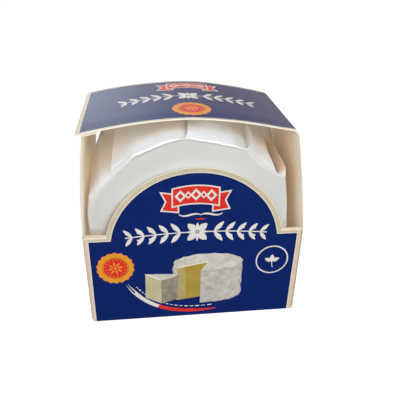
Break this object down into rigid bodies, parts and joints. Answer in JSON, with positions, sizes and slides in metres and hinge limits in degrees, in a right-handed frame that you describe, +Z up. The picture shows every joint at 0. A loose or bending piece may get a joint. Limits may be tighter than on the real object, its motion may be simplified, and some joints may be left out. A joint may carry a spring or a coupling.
{
  "type": "paper-wrapped soft cheese in a card sleeve",
  "caption": "Round soft cheese wrapped in pleated white paper, standing on edge in an open-cornered folded card sleeve with an arched front panel and a bowed lid.",
  "frame": {"origin": "middle of the sleeve's base, on the surface it stands on", "axes": "+Z up, -Y towards the arched front panel, +X to the right seen from the front; the round cheese's axis lies along Y"},
  "size_m": [0.0966, 0.0558, 0.0983],
  "materials": {
    "printed_card": "varnished navy print with cream borders, plain pale board inside",
    "wrapping_paper": "thin white waxed paper with a soft sheen"
  },
  "bodies": {
    "root": {"carton": "printed_card", "wrapped_cheese": "wrapping_paper"}
  },
  "joints": []
}
